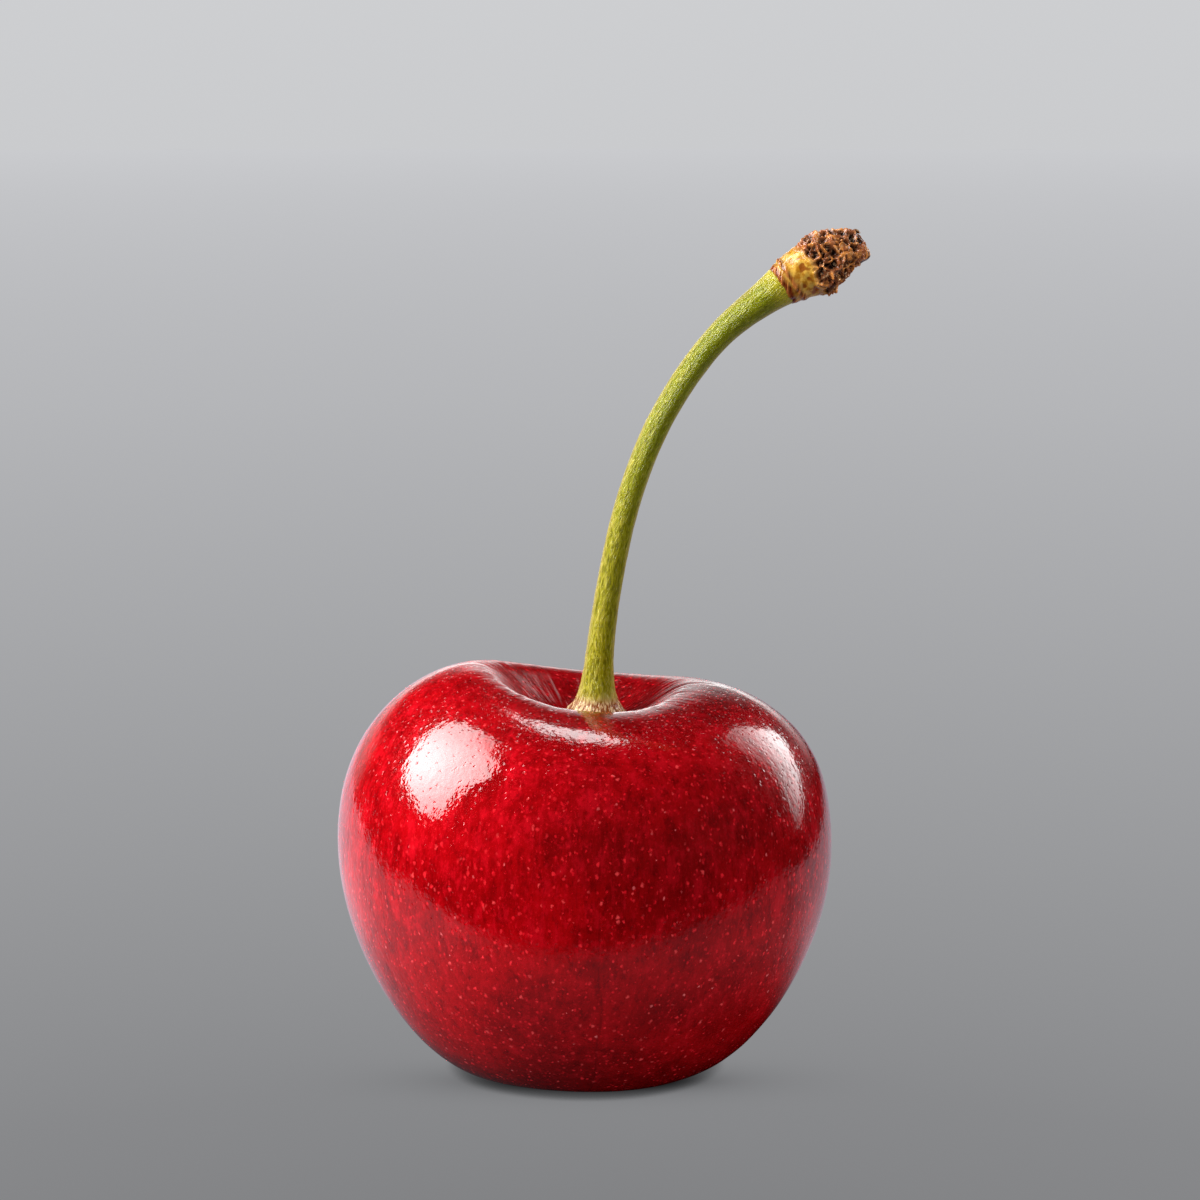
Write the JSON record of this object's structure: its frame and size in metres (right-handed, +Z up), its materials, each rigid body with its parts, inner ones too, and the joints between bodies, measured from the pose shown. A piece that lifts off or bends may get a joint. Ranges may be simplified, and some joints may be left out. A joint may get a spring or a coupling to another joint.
{
  "type": "sweet cherry",
  "caption": "Round heart-shaped stone fruit with a glossy skin, standing on its flat spot, with its curved stalk and the woody end of the stalk.",
  "frame": {"origin": "centre of the flat spot under the fruit, in the surface it rests on", "axes": "+Z up along the axis of the fruit, -Y towards the seam of the fruit, +X the side the stalk leans to"},
  "size_m": [0.029, 0.0252, 0.046],
  "materials": {
    "cherry_skin": "very glossy crimson skin with fine pale specks",
    "green_stalk": "satin yellow-green, finely ribbed along its length",
    "bud_wood": "crumpled brown bud scales over smooth amber wood"
  },
  "bodies": {
    "root": {"fruit": "cherry_skin", "stalk": "green_stalk", "woody_end": "bud_wood"}
  },
  "joints": []
}
